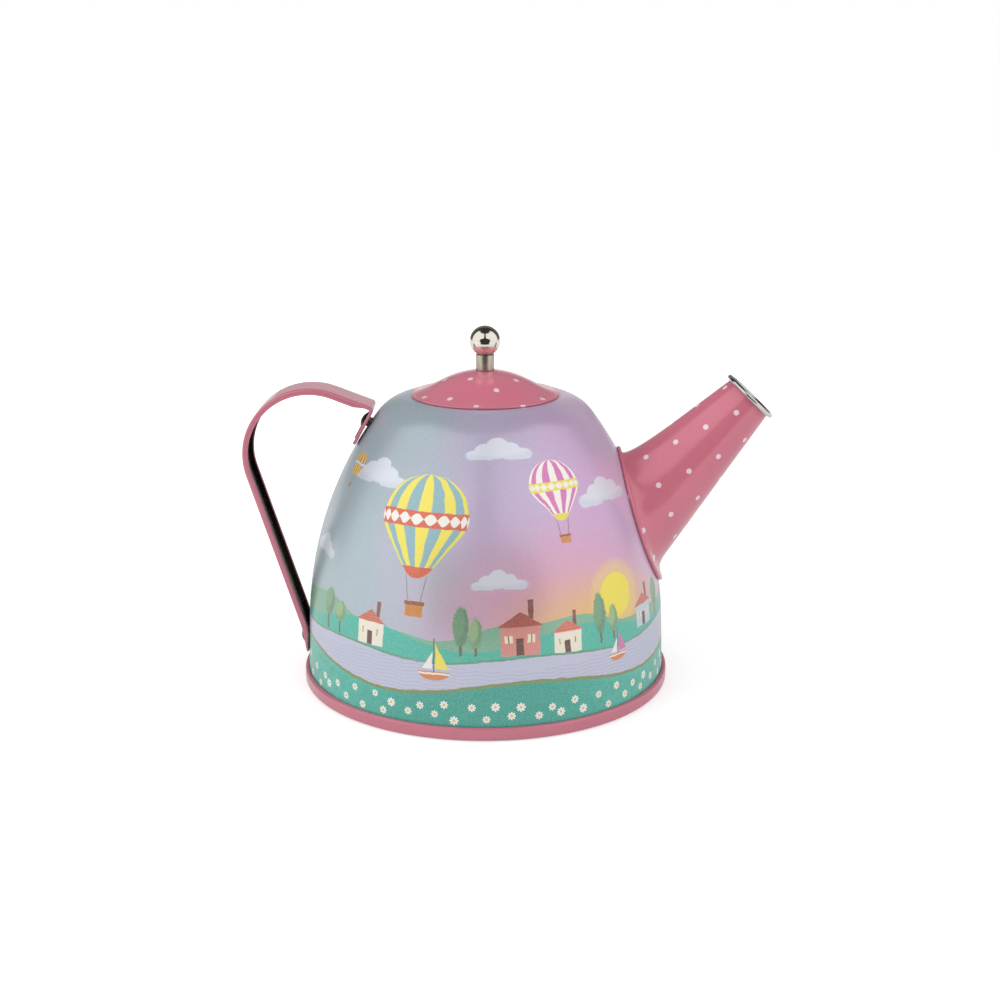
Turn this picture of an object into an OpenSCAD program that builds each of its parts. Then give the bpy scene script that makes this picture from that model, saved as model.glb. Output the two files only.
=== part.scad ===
// Toy teapot from a child's tea set, pressed from thin printed tinplate.
// Origin on the body's axis at the resting plane, +Z up, spout towards +X, handle towards -X.

/* [Body] */
// Outer radius of the body at its foot
body_r = 53.9; // [50:0.1:58]
// Height from the resting plane to the top of the crown
body_h = 85.7; // [82:0.1:90]
// Height at which the straight wall turns into the rounded side
wall_h = 19.2; // [16:0.1:26]
// Inward lean of the straight wall, in degrees
wall_lean = 2.1; // [0:0.1:4]
// Radius of the crown round the lid opening
crown_r = 12.9; // [10:0.1:15]
// Thickness of the tinplate in every pressed piece
sheet = 0.4; // [0.3:0.05:0.5]
// Inner radius of the neck that takes the lid
mouth_r = 19.4; // [17:0.1:21]
// Radius of the lip that turns the crown down into the neck
lip_r = 2.1; // [1:0.05:2.5]
// Depth of the turned-down neck below the crown
neck_h = 4; // [3:0.25:6]

/* [Base] */
// How far the rolled foot rim stands proud of the body
rim_proud = 1.1; // [0.9:0.05:1.6]
// Height of the rolled foot rim
rim_h = 3.6; // [3:0.1:5]
// Width of the channel that holds the foot of the body
channel_w = 2.7; // [2.5:0.1:3.5]
// Height of the recessed floor over the resting plane
floor_z = 2; // [1.6:0.1:3]
// Radius of the rim's lower edges
rim_edge_r = 0.55; // [0.5:0.05:0.9]
// Radius of the hem along the top of the rim
rim_hem_r = 0.6; // [0.55:0.05:0.7]

/* [Spout] */
// How far the mouth's centre stands out beyond the foot of the body
spout_reach = 23.9; // [20:0.1:30]
// How far the mouth's centre lies below the top of the crown
spout_drop = 0.45; // [0:0.05:6]
// Slope of the spout's axis over the horizontal, in degrees
spout_tilt = 46.9; // [42:0.1:50]
// Half angle of the spout's taper, in degrees
spout_taper = 8.8; // [7:0.1:10]
// Outer radius of the spout at its mouth
spout_mouth_r = 7.45; // [6.5:0.05:8.5]
// Width of the flange that lies on the body, square to the spout's axis
flange_w = 3.75; // [3:0.05:4.5]
// How far the flange's outline is set above the spout's axis
flange_rise = 0.65; // [0:0.05:1]
// Width of the rolled edge round the flange
flange_roll_w = 1.3; // [1:0.1:1.6]
// Thickness of the rolled edge round the flange
flange_roll_t = 1.1; // [0.9:0.05:1.3]
// Gap between the flange's sheet and the body
flange_lift = 0.35; // [0.2:0.05:0.5]
// Reach of the locking tabs inside the body
spout_tab_w = 2.4; // [1.5:0.1:3]
// Thickness of the wire of the mouth ring
ring_wire = 1.45; // [1.2:0.05:1.8]

/* [Handle] */
// How far the handle stands out beyond the upper tab's end
handle_reach = 33.05; // [30:0.1:38]
// Rise of the handle's highest point over the crown
handle_rise = 2.8; // [1:0.1:6]
// Outer radius of the handle's round bow
handle_bow_r = 20; // [18:0.5:22]
// Fall of the handle's upper run below the horizontal, in degrees
handle_fall = 20.9; // [18:0.1:24]
// Width of the strap
strap_w = 13; // [11:0.5:15]
// Depth of the strap's channel
strap_d = 1.75; // [1.2:0.05:2]
// Width of the hem along each edge of the strap
strap_hem_w = 0.85; // [0.7:0.05:1]
// Depth of the hems along the upper tab
strap_tab_d = 0.95; // [0.8:0.05:1.4]
// Height of the lower tab's end
lower_tab_z = 7.1; // [6.5:0.1:9]
// Height at which the lower tab's channel has its full depth
lower_full_z = 14.1; // [13:0.1:15.5]
// Height of the bend above the lower tab
lower_bend_z = 15.2; // [14.5:0.1:17]
// Radius of the bend above the lower tab
lower_bend_r = 25; // [20:1:28]
// How far the upper tab's lower end lies below the crown
upper_tab_drop = 14.2; // [12:0.1:16]
// Angle at which the upper tab stands off the side of the body, in degrees
upper_tab_lift = 1.9; // [1:0.1:4]
// Gap between the upper tab's lower end and the body
upper_tab_gap = 0.35; // [0.2:0.05:0.5]
// Outer radius of the fold over the upper tab
fold_r = 1.3; // [1.1:0.05:1.6]
// Length over which the hems thin out before the fold
strap_thinning = 3; // [2:0.25:5]

/* [Rivets] */
// Radius of the rivets' shanks
shank_r = 1.5; // [1.2:0.05:1.8]
// Radius of the rivets' heads
rivet_r = 3; // [2.4:0.1:3.4]
// Height of the rivets' domed heads
rivet_h = 1.5; // [1:0.05:2]
// Radius of the rivets' closed ends inside the body
rivet_tail_r = 2.5; // [2.1:0.1:3]
// Thickness of the rivets' closed ends
rivet_tail_h = 0.8; // [0.5:0.05:1.1]
// Height of the lower rivet
lower_rivet_z = 11; // [10.9:0.05:11.1]
// Distance of the upper rivet from the upper tab's lower end
upper_rivet_run = 7.2; // [6:0.1:8.5]

/* [Lid] */
// How far the lid's edge reaches beyond the mouth
lid_overlap = 2.35; // [1.8:0.05:3]
// Radius of the rolled edge round the lid
bead_r = 0.35; // [0.3:0.05:0.5]
// Steepest slope of the lid, in degrees
lid_slope = 27; // [24:0.5:28]
// Width of the straight slope between the lid's dome and its flare
lid_cone_w = 3.5; // [2.5:0.1:4.5]
// Width of the flared band round the lid's edge
lid_flare_w = 5.75; // [5:0.25:6.5]
// Radius of the flare towards the lid's edge
lid_flare_bend = 27; // [25:0.5:32]
// Depth of the lid's collar below the crown
collar_h = 5; // [4:0.25:7]
// Clearance between the collar and the neck
collar_fit = 0.3; // [0.2:0.05:0.4]
// Width of the collar's flange under the lid
collar_flange_w = 2.6; // [2:0.1:2.9]

/* [Knob] */
// Diameter of the knob's ball
ball_d = 9; // [8:0.1:11]
// Outer diameter of the ferrule under the ball
ferrule_d = 5.5; // [5.2:0.1:6.2]
// Height of the ferrule
ferrule_h = 4.6; // [4:0.1:6]
// Wall of the ferrule
ferrule_wall = 0.5; // [0.4:0.05:0.6]
// Radius of the knob screw's shank
screw_r = 1.5; // [1.2:0.05:1.7]
// Radius of the knob screw's head
screw_head_r = 3; // [2.7:0.1:3.4]
// Thickness of the knob screw's head
screw_head_h = 1.8; // [1.4:0.1:2.2]
// Width of the slot in the knob screw's head
screw_slot_w = 0.8; // [0.6:0.05:1]
// Depth of the slot in the knob screw's head
screw_slot_h = 0.9; // [0.6:0.05:1.1]

/* [Fits] */
// Gap between pieces that are pressed or crimped together
seam = 0.05; // [0.03:0.01:0.08]
// Clearance round a shank in its hole
hole_fit = 0.1; // [0.05:0.01:0.2]
// How far a cutting shape runs past what it cuts
overrun = 1; // [0.5:0.1:2]

/* [Hidden] */

// Steps in the facets of a round seen in the preview, and in small and large arcs of the outlines
$fn = 96;
corner_steps = 5;
sweep_steps = 16;

sky = "#9fb8ba";
rose = "#d67b92";
bare_tin = "#b9b4ad";
dark_steel = "#6b6a6c";
bright = "#d9dade";

function unit(v) = v / norm(v);
function turned(v) = [-v[1], v[0]];
function polar(r, a) = r * [cos(a), sin(a)];
function tail(list) = [for (i = [1:len(list) - 1]) list[i]];
function reversed(list) = [for (i = [len(list) - 1:-1:0]) list[i]];

// Points of an arc about c, from angle a to angle b
function arc(c, r, a, b, steps) = [for (i = [0:steps]) c + polar(r, a + (b - a) * i / steps)];

// The corner p between a and b, rounded to radius r
function rounded(a, p, b, r) =
    let (u = unit(a - p), v = unit(b - p), half = acos(u * v) / 2,
         c = p + unit(u + v) * r / sin(half), start = p + u * r / tan(half) - c,
         side = (p - a) * turned(b - p) < 0 ? 1 : -1,
         from = atan2(start[1], start[0]))
    arc(c, r, from, from + side * (180 - 2 * half), corner_steps);

// The path moved sideways by d, a number or one number a point, to the left of its direction
function beside(path, d) = [for (i = [0:len(path) - 1])
    let (last = len(path) - 1, before = max(i, 1), after = min(i, last - 1),
         n = turned(unit(path[before] - path[before - 1])),
         mean = unit(n + turned(unit(path[after + 1] - path[after]))))
    path[i] + mean * (is_list(d) ? d[i] : d) / (mean * n)];

// The strip between two lines beside the same path
module strip(path, a, b) polygon(concat(beside(path, a), reversed(beside(path, b))));

// Where two lines cross, each given by a point and a direction
function crossing(p, u, q, v) = p + u * ((q - p) * turned(v)) / (u * turned(v));

// Outer line of the body: foot, wall, crown and the rounded side that touches both
foot_z = sheet + seam;
wall_top = [body_r - (wall_h - foot_z) * tan(wall_lean), wall_h];
crown_c = [mouth_r + lip_r, body_h - crown_r];
side_chord = crown_c - wall_top;
side_r = (side_chord * side_chord - crown_r ^ 2) / -2 / (side_chord * polar(1, wall_lean) + crown_r);
side_c = wall_top - polar(side_r, wall_lean);
side_turn = atan2(crown_c[1] - side_c[1], crown_c[0] - side_c[0]);
body_line = concat([[body_r, foot_z]], arc(side_c, side_r, wall_lean, side_turn, sweep_steps),
    tail(arc(crown_c, crown_r, side_turn, 90, sweep_steps / 2)));
neck_line = concat(tail(arc([crown_c[0], body_h - lip_r], lip_r, 90, 180, corner_steps)),
    [[mouth_r, body_h - neck_h]]);

// Radius of the body's outer face at height z, and the angle of its normal over the horizontal above the wall
crown_z = crown_c[1] + crown_r * sin(side_turn);
function body_radius(z) = z < wall_h
    ? body_r - (z - foot_z) * tan(wall_lean)
    : z < crown_z
    ? side_c[0] + sqrt(side_r ^ 2 - (z - side_c[1]) ^ 2)
    : crown_c[0] + sqrt(crown_r ^ 2 - (z - crown_c[1]) ^ 2);
function body_turn(z) = z < crown_z ? asin((z - side_c[1]) / side_r) : asin((z - crown_c[1]) / crown_r);

// Channel and floor of the base
rim_r = body_r + rim_proud;
floor_r = rim_r - channel_w;

// Spout
spout_mouth = [body_r + spout_reach, 0, body_h - spout_drop];
spout_root_share = 0.57;
spout_run = spout_root_share * spout_mouth[0] / cos(spout_tilt);
ring_r = spout_mouth_r + ring_wire / 2;

// Handle: the outer, lacquered line from the lower tab's end over the bow to the upper tab's end
upper_tab_z = body_h - upper_tab_drop;
upper_tab_tilt = 90 - body_turn(upper_tab_z) + upper_tab_lift;
tab_end = [-body_radius(upper_tab_z) - upper_tab_gap, upper_tab_z];
tab_run = -[cos(upper_tab_tilt), sin(upper_tab_tilt)];
lower_end = [-body_radius(lower_tab_z) - seam - sheet, lower_tab_z];
lower_full = [-body_radius(lower_full_z) - seam - strap_d, lower_full_z];
lower_pull = unit(lower_full - lower_end);
lower_corner = lower_end + lower_pull * (lower_bend_z - lower_tab_z) / lower_pull[1];
bow_c = [tab_end[0] - handle_reach + handle_bow_r, body_h + handle_rise - handle_bow_r];
bow_pull = bow_c - lower_corner;
handle_lean = atan2(bow_pull[1], bow_pull[0]) + asin(handle_bow_r / norm(bow_pull)) - 90;
lower_run = [-sin(handle_lean), cos(handle_lean)];
upper_run = [cos(handle_fall), -sin(handle_fall)];
bow_start = bow_c + handle_bow_r * turned(lower_run);
bow_end = bow_c + handle_bow_r * turned(upper_run);
fold_corner = crossing(bow_end, upper_run, tab_end, tab_run);
lower_bend = rounded(lower_end, lower_corner, bow_start, lower_bend_r);
bow = arc(bow_c, handle_bow_r, 180 + handle_lean, 90 - handle_fall, sweep_steps);
fold = rounded(bow_end, fold_corner, tab_end, fold_r);
flat_end = fold_corner - upper_run * (fold_r + strap_d);
flat_start = flat_end - upper_run * strap_thinning;
strap_line = concat([lower_end], lower_bend, bow, [flat_start, flat_end], fold, [tab_end]);
hem_depths = concat([-sheet], [for (p = concat(lower_bend, bow, [flat_start])) -strap_d],
    [for (p = concat([flat_end], fold, [tab_end])) -strap_tab_d]);

// Rivets, each square to its tab; the skew is the angle between the tab and the body behind it
lower_rivet = lower_end + lower_pull * (lower_rivet_z - lower_tab_z) / lower_pull[1];
lower_skew = acos(lower_pull[1]) + wall_lean;
lower_grip = -(lower_rivet[0] + body_radius(lower_rivet_z)) * lower_pull[1] + sheet
    + rivet_tail_r * sin(lower_skew) + seam;
upper_rivet = tab_end - tab_run * upper_rivet_run - turned(tab_run) * sheet;
upper_skew = upper_tab_tilt - 90 + body_turn(upper_rivet[1]);
upper_bend = upper_rivet[1] + rivet_tail_r < crown_z ? side_r : crown_r;
upper_grip = -(upper_rivet[0] + body_radius(upper_rivet[1])) * sin(upper_tab_tilt) + sheet
    + rivet_tail_r * sin(upper_skew) + upper_bend - sqrt(upper_bend ^ 2 - rivet_tail_r ^ 2) + seam;

// Lid: outer line from inside the screw's hole to the rolled edge
lid_r = mouth_r + lid_overlap;
lid_flare_r = lid_r - lid_flare_w;
lid_dome_r = (lid_flare_r - lid_cone_w) / sin(lid_slope);
lid_edge = [lid_r - bead_r, body_h + seam + bead_r];
flare_x = lid_flare_r + lid_flare_bend * sin(lid_slope);
edge_slope = asin((flare_x - lid_edge[0]) / (lid_flare_bend + sheet / 2));
flare_c = [flare_x, lid_edge[1] + (lid_flare_bend + sheet / 2) * cos(edge_slope)];
dome_edge_r = lid_dome_r * sin(lid_slope);
dome_c = [0, flare_c[1] - lid_flare_bend * cos(lid_slope) + (lid_flare_r - dome_edge_r) * tan(lid_slope)
    - lid_dome_r * cos(lid_slope)];
lid_line = concat(arc(dome_c, lid_dome_r, 90 - asin(screw_r / 2 / lid_dome_r), 90 - lid_slope, sweep_steps / 2),
    arc(flare_c, lid_flare_bend, 270 - lid_slope, 270 - edge_slope, sweep_steps / 2));
function dome_z(r, under) = dome_c[1] + sqrt((lid_dome_r - under) ^ 2 - r ^ 2);

// Collar under the lid
collar_r = mouth_r - collar_fit;
collar_bend = lid_flare_bend + sheet + seam;
function flare_angle(r) = 270 - asin((flare_x - r) / collar_bend);
collar_line = concat([[collar_r, body_h - collar_h]],
    arc(flare_c, collar_bend, flare_angle(collar_r), flare_angle(collar_r - collar_flange_w), corner_steps));

// Knob
ferrule_bore_r = ferrule_d / 2 - ferrule_wall;
ferrule_z = dome_z(ferrule_bore_r, 0) + seam;
ball_r = ball_d / 2;
ball_z = ferrule_z + ferrule_h + seam + sqrt(ball_r ^ 2 - ferrule_bore_r ^ 2);
screw_z = dome_z(screw_head_r, sheet) - seam;
screw_tip_z = ball_z + screw_r;

// Solid that the body fills out to a line at distance out beyond its outer face
module body_space(out) rotate_extrude()
    polygon(concat(beside(body_line, -out), [[0, body_h + out], [0, foot_z]]));

// Skin of the body between two distances inside its outer face, which are negative outside it
module body_skin(from, to) rotate_extrude() strip(body_line, from, to);

// Cone along the spout, from distance start to distance end behind its mouth, set above its axis by rise
module spout_cone(grow, start, end, rise = 0)
    translate(spout_mouth) rotate([0, 270 - spout_tilt, 0]) translate([rise, 0, start])
        cylinder(h = end - start, r1 = spout_mouth_r + grow + start * tan(spout_taper),
            r2 = spout_mouth_r + grow + end * tan(spout_taper));

// Points p of the handle's plane as places in space, with z along the direction out
module in_handle(p, out)
    translate([p[0], 0, p[1]]) rotate([0, atan2(out[0], out[1]), 0]) children();

// Rivet whose domed head rests at z = 0 with grip below it to the inner face of the body
module rivet(grip) {
    dome_r = (rivet_r ^ 2 + rivet_h ^ 2) / (2 * rivet_h);
    intersection() {
        translate([0, 0, rivet_h - dome_r]) sphere(dome_r);
        translate([0, 0, seam]) cylinder(h = rivet_h, r = rivet_r + overrun);
    }
    translate([0, 0, -grip - rivet_tail_h]) cylinder(h = grip + rivet_tail_h + rivet_h / 2, r = shank_r);
    translate([0, 0, -grip - seam - rivet_tail_h]) cylinder(h = rivet_tail_h, r = rivet_tail_r);
}

module rivet_hole(grip)
    translate([0, 0, -grip - rivet_tail_h - overrun])
        cylinder(h = grip + rivet_tail_h + 2 * overrun, r = shank_r + hole_fit);

lower_out = turned(lower_pull);
upper_out = -turned(tab_run);

// Drawn body with its spout hole, rivet holes and turned-down neck
module body_shell() color(sky) difference() {
    rotate_extrude() strip(concat(body_line, neck_line), 0, sheet);
    spout_cone(seam, 0, spout_run);
    in_handle(lower_rivet, lower_out) rivet_hole(lower_grip);
    in_handle(upper_rivet, upper_out) rivet_hole(upper_grip);
}

// Pressed floor with the rolled rim that is crimped round the foot of the body
module base_plate() color(rose) rotate_extrude()
    strip(concat([[body_r + seam, rim_h]],
        arc([rim_r - rim_hem_r, rim_h - rim_hem_r], rim_hem_r, 90, 0, corner_steps),
        arc([rim_r - rim_edge_r, rim_edge_r], rim_edge_r, 0, -90, corner_steps),
        arc([floor_r + rim_edge_r, rim_edge_r], rim_edge_r, -90, -180, corner_steps),
        rounded([floor_r, rim_edge_r], [floor_r, floor_z], [0, floor_z], sheet),
        [[0, floor_z]]), -sheet, 0);

// Tapered spout with its flange on the body and the tabs that lock it from inside
module spout_shell() color(rose) difference() {
    union() {
        difference() {
            spout_cone(0, 0, spout_run);
            body_space(flange_lift);
        }
        intersection() {
            body_skin(-flange_lift - sheet, -flange_lift);
            spout_cone(flange_w, 0, spout_run, flange_rise);
        }
        intersection() {
            body_skin(-flange_roll_t, -seam);
            difference() {
                spout_cone(flange_w, 0, spout_run, flange_rise);
                spout_cone(flange_w - flange_roll_w, -overrun, spout_run + overrun, flange_rise);
            }
        }
        intersection() {
            body_skin(-flange_lift - sheet / 2, sheet + seam + sheet / 2);
            spout_cone(0, 0, spout_run);
        }
        intersection() {
            body_skin(sheet + seam, 2 * sheet + seam);
            spout_cone(spout_tab_w, 0, spout_run);
        }
    }
    spout_cone(-sheet, -overrun, spout_run + overrun);
}

// Wire ring crimped round the mouth of the spout
module spout_ring() color(bright) difference() {
    translate(spout_mouth) rotate([0, 270 - spout_tilt, 0])
        rotate_extrude() translate([ring_r, 0]) circle(ring_wire / 2);
    spout_cone(seam, -ring_wire, ring_wire);
}

// Strap bent to the handle's bow, a channel with a hem along each edge
module handle_strap() color(rose) difference() {
    rotate([90, 0, 0]) union() {
        linear_extrude(strap_w, center = true) strip(strap_line, -sheet, 0);
        for (side = [-1, 1])
            translate([0, 0, side * (strap_w - strap_hem_w) / 2])
                linear_extrude(strap_hem_w, center = true) strip(strap_line, hem_depths, 0);
    }
    in_handle(lower_rivet, lower_out) rivet_hole(lower_grip);
    in_handle(upper_rivet, upper_out) rivet_hole(upper_grip);
}

// Rivet that holds the handle's upper tab to the shoulder
module handle_rivet_upper() color(dark_steel) in_handle(upper_rivet, upper_out) rivet(upper_grip);

// Rivet that holds the handle's lower tab to the wall
module handle_rivet_lower() color(dark_steel) in_handle(lower_rivet, lower_out) rivet(lower_grip);

// Pressed lid with a rolled edge and a hole for the knob's screw
module lid_shell() color(rose) difference() {
    rotate_extrude() union() {
        strip(lid_line, -sheet, 0);
        translate(lid_edge) circle(bead_r);
    }
    cylinder(h = body_h + ball_z, r = screw_r + hole_fit);
}

// Collar under the lid that drops into the neck
module lid_collar() color(bare_tin) rotate_extrude() strip(collar_line, 0, sheet);

// Bright ball with a threaded blind hole for the screw
module knob_ball() color(bright) difference() {
    translate([0, 0, ball_z]) sphere(ball_r);
    cylinder(h = screw_tip_z + seam, r = screw_r + seam);
}

// Tube between the lid and the ball
module knob_ferrule() color(bright) translate([0, 0, ferrule_z]) difference() {
    cylinder(h = ferrule_h, r = ferrule_d / 2);
    translate([0, 0, -overrun]) cylinder(h = ferrule_h + 2 * overrun, r = ferrule_bore_r);
}

// Slotted screw from under the lid up into the ball
module knob_screw() color(dark_steel) difference() {
    union() {
        translate([0, 0, screw_z - screw_head_h]) cylinder(h = screw_head_h, r = screw_head_r);
        translate([0, 0, screw_z - seam]) cylinder(h = screw_tip_z - screw_z + seam, r = screw_r);
    }
    translate([-screw_head_r - overrun, -screw_slot_w / 2, screw_z - screw_head_h - overrun])
        cube([2 * (screw_head_r + overrun), screw_slot_w, screw_slot_h + overrun]);
}

body_shell();
base_plate();
spout_shell();
spout_ring();
handle_strap();
handle_rivet_upper();
handle_rivet_lower();
lid_shell();
lid_collar();
knob_ball();
knob_ferrule();
knob_screw();
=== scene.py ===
"""Toy teapot of printed tinplate: its looks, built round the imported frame.

Sizes are in millimetres and are turned into metres where a mesh is made. A line is a list of (x, z) points, where
x is a radius on a turned piece.
"""
import math

import bpy
import numpy as np
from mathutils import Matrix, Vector


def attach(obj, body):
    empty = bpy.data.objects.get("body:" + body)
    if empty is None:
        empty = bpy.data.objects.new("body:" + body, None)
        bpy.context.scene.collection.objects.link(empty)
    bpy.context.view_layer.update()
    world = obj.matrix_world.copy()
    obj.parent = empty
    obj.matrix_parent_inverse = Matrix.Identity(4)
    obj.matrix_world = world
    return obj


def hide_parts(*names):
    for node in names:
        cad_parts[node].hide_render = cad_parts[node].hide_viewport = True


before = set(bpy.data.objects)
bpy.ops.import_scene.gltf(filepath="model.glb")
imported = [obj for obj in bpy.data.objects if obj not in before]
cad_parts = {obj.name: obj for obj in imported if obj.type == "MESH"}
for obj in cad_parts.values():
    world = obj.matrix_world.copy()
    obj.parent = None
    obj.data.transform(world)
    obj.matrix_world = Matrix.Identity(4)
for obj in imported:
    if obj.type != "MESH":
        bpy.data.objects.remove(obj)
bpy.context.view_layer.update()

MM = 0.001

# Driving sizes of the body and its tinplate
SHEET = 0.4
SEAM = 0.05
BODY_R = 53.9
BODY_H = 85.7
WALL_H = 19.2
WALL_LEAN = math.radians(2.1)
CROWN_R = 12.9
LIP_R = 2.1
MOUTH_R = 19.4
NECK_H = 4.0

# Foot rim
RIM_R = 55.0
RIM_H = 3.6
FLOOR_R = 52.3
FLOOR_Z = 2.0
RIM_EDGE_R = 0.55
RIM_HEM_R = 0.6

# Spout
SPOUT_MOUTH = np.array([BODY_R + 23.9, 0.0, BODY_H - 0.45])
SPOUT_TILT = math.radians(46.9)
SPOUT_TAPER = math.tan(math.radians(8.8))
SPOUT_R = 7.45
FLANGE_W = 3.75
FLANGE_RISE = 0.65
FLANGE_LIFT = 0.35
TAB_W = 2.4
RING_WIRE = 1.45

# Handle
STRAP_W = 13.0
STRAP_D = 1.75
STRAP_HEM = 0.85
TAB_D = 0.95
BOW_R = 20.0
HANDLE_REACH = 33.05
HANDLE_RISE = 2.8
HANDLE_FALL = math.radians(20.9)
LOWER_TAB_Z = 7.1
LOWER_FULL_Z = 14.1
LOWER_BEND_Z = 15.2
UPPER_TAB_Z = BODY_H - 14.2
UPPER_LIFT = math.radians(1.9)
UPPER_TAB_GAP = 0.35
LOWER_BEND_R = 25.0
FOLD_R = 1.3
THINNING = 3.0
TAB_CORNER_R = 2.4
STRAP_EDGE_R = 0.6

# Rivets
SHANK_R = 1.5
RIVET_R = 3.0
RIVET_H = 1.5
TAIL_R = 2.5
TAIL_H = 0.8
LOWER_RIVET_Z = 11.0
UPPER_RIVET_RUN = 7.2
# The share of its dome that the head keeps, how far its edge curls out and under, and how the tail's edges are worn
HEAD_SHARE, HEAD_CURL, HEAD_LIP = 0.93, 0.12, 0.1
TAIL_EDGE, TAIL_DRAFT, TAIL_WORN = 0.2, 0.15, 0.5

# Lid and knob
LID_R = 21.75
BEAD_R = 0.35
BEAD_OPEN = 0.6
LID_SLOPE = math.radians(27)
FLARE_AT = 16.0
DOME_R = 12.5 / math.sin(LID_SLOPE)
FLARE_R = 27.0
COLLAR_R = 19.1
COLLAR_H = 5.0
COLLAR_FLANGE = 2.6
BALL_R = 4.5
FERRULE_R = 2.75
FERRULE_BORE = 2.25
FERRULE_H = 4.6
FERRULE_EDGE_R = 0.12
SCREW_R = 1.5
HOLE_FIT = 0.1

# Facets round the turned pieces, from large to small, and round the spout
ROUND = 256
MIDDLE_ROUND = 128
BALL_ROUND = 96
SMALL_ROUND = 64
SPOUT_ROUND = 160
# The turn between faces, in degrees, from which an edge is sharp
SHARP = 35


def unit(v):
    v = np.asarray(v, float)
    return v / np.linalg.norm(v)


def turned(v):
    """The plane vector v turned a quarter turn to the left."""
    return np.array([-v[1], v[0]])


def arc(centre, radius, start, end, steps):
    """Points of an arc about centre, from angle start to angle end."""
    angles = np.linspace(start, end, steps + 1)
    return [np.asarray(centre, float) + radius * np.array([math.cos(a), math.sin(a)]) for a in angles]


def rounded(before, corner, after, radius, steps=8):
    """The corner rounded to radius between its neighbours."""
    before, corner, after = (np.asarray(p, float) for p in (before, corner, after))
    u, v = unit(before - corner), unit(after - corner)
    half = math.acos(float(u @ v)) / 2
    centre = corner + unit(u + v) * radius / math.sin(half)
    start = corner + u * radius / math.tan(half) - centre
    side = 1 if (corner - before) @ turned(after - corner) < 0 else -1
    angle = math.atan2(start[1], start[0])
    return arc(centre, radius, angle, angle + side * (math.pi - 2 * half), steps)


def beside(line, d):
    """The line moved sideways by d, to the left of its direction. d is a number or one number a point."""
    line = np.asarray(line, float)
    d = np.broadcast_to(d, len(line))
    out = []
    for i, p in enumerate(line):
        before = max(i, 1)
        after = min(i, len(line) - 2)
        n = turned(unit(line[before] - line[before - 1]))
        mean = unit(n + turned(unit(line[after + 1] - line[after])))
        out.append(p + mean * d[i] / (mean @ n))
    return out


def crossing(p, u, q, v):
    """Where the line through p along u crosses the line through q along v."""
    return p + u * ((q - p) @ turned(v)) / (u @ turned(v))


# Body line: foot, wall, side, crown and neck
FOOT_Z = SHEET + SEAM
WALL_TOP = np.array([BODY_R - (WALL_H - FOOT_Z) * math.tan(WALL_LEAN), WALL_H])
CROWN_C = np.array([MOUTH_R + LIP_R, BODY_H - CROWN_R])
SIDE_CHORD = CROWN_C - WALL_TOP
SIDE_R = (SIDE_CHORD @ SIDE_CHORD - CROWN_R ** 2) / -2 / (
    SIDE_CHORD @ np.array([math.cos(WALL_LEAN), math.sin(WALL_LEAN)]) + CROWN_R)
SIDE_C = WALL_TOP - SIDE_R * np.array([math.cos(WALL_LEAN), math.sin(WALL_LEAN)])
SIDE_TURN = math.atan2(CROWN_C[1] - SIDE_C[1], CROWN_C[0] - SIDE_C[0])
CROWN_Z = CROWN_C[1] + CROWN_R * math.sin(SIDE_TURN)


def body_radius(z):
    """Radius of the body's outer face at height z."""
    if z < WALL_H:
        return BODY_R - (z - FOOT_Z) * math.tan(WALL_LEAN)
    centre, radius = (SIDE_C, SIDE_R) if z < CROWN_Z else (CROWN_C, CROWN_R)
    return centre[0] + math.sqrt(radius ** 2 - (z - centre[1]) ** 2)


def body_turn(z):
    """Angle of the outer face's normal over the horizontal, above the wall."""
    centre, radius = (SIDE_C, SIDE_R) if z < CROWN_Z else (CROWN_C, CROWN_R)
    return math.asin((z - centre[1]) / radius)


def new_object(name, data):
    """A new object with its data, in the scene."""
    item = bpy.data.objects.new(name, data)
    bpy.context.scene.collection.objects.link(item)
    return item


def mesh_piece(name, shape, body, materials, nodes):
    """A smooth piece from a shape's points, in millimetres, and faces. It rides on a body and replaces nodes."""
    points, faces = shape
    mesh = bpy.data.meshes.new(name)
    mesh.from_pydata([tuple(np.asarray(p) * MM) for p in points], [], [tuple(f) for f in faces])
    mesh.validate()
    mesh.update()
    mesh.polygons.foreach_set("use_smooth", [True] * len(mesh.polygons))
    mesh.set_sharp_from_angle(angle=math.radians(SHARP))
    piece = new_object(name, mesh)
    for material in materials:
        mesh.materials.append(material)
    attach(piece, body)
    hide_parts(*nodes)
    return piece


def bare_inside(piece, is_inside):
    """Gives a piece's second material to the faces that a test of their middle, in mm, and their normal picks."""
    for polygon in piece.data.polygons:
        polygon.material_index = int(is_inside(np.array(polygon.center) / MM, np.array(polygon.normal)))


def turned_shape(line, steps, closed=True):
    """The shape of a line turned about Z. The line runs round the section, and closed joins its ends."""
    points, rows = [], []
    for r, z in line:
        if abs(r) < 1e-6:
            points.append((0, 0, z))
            rows.append([len(points) - 1] * steps)
        else:
            rows.append(list(range(len(points), len(points) + steps)))
            points += [(r * math.cos(a), r * math.sin(a), z)
                       for a in (2 * math.pi * k / steps for k in range(steps))]
    faces = []
    last = len(rows) if closed else len(rows) - 1
    for i in range(last):
        low, high = rows[i], rows[(i + 1) % len(rows)]
        for k in range(steps):
            n = (k + 1) % steps
            face = [low[k], low[n], high[n], high[k]]
            face = [v for j, v in enumerate(face) if v not in face[:j]]
            if len(face) > 2:
                faces.append(face)
    return outwards(points, faces)


def outwards(points, faces):
    """The closed shape with its faces turned outwards, so that its volume is positive."""
    p = np.asarray(points, float)
    volume = sum(float(np.dot(p[f[0]], np.cross(p[f[i]], p[f[i + 1]]))) for f in faces for i in range(1, len(f) - 1))
    return points, [f[::-1] for f in faces] if volume < 0 else faces


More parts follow.
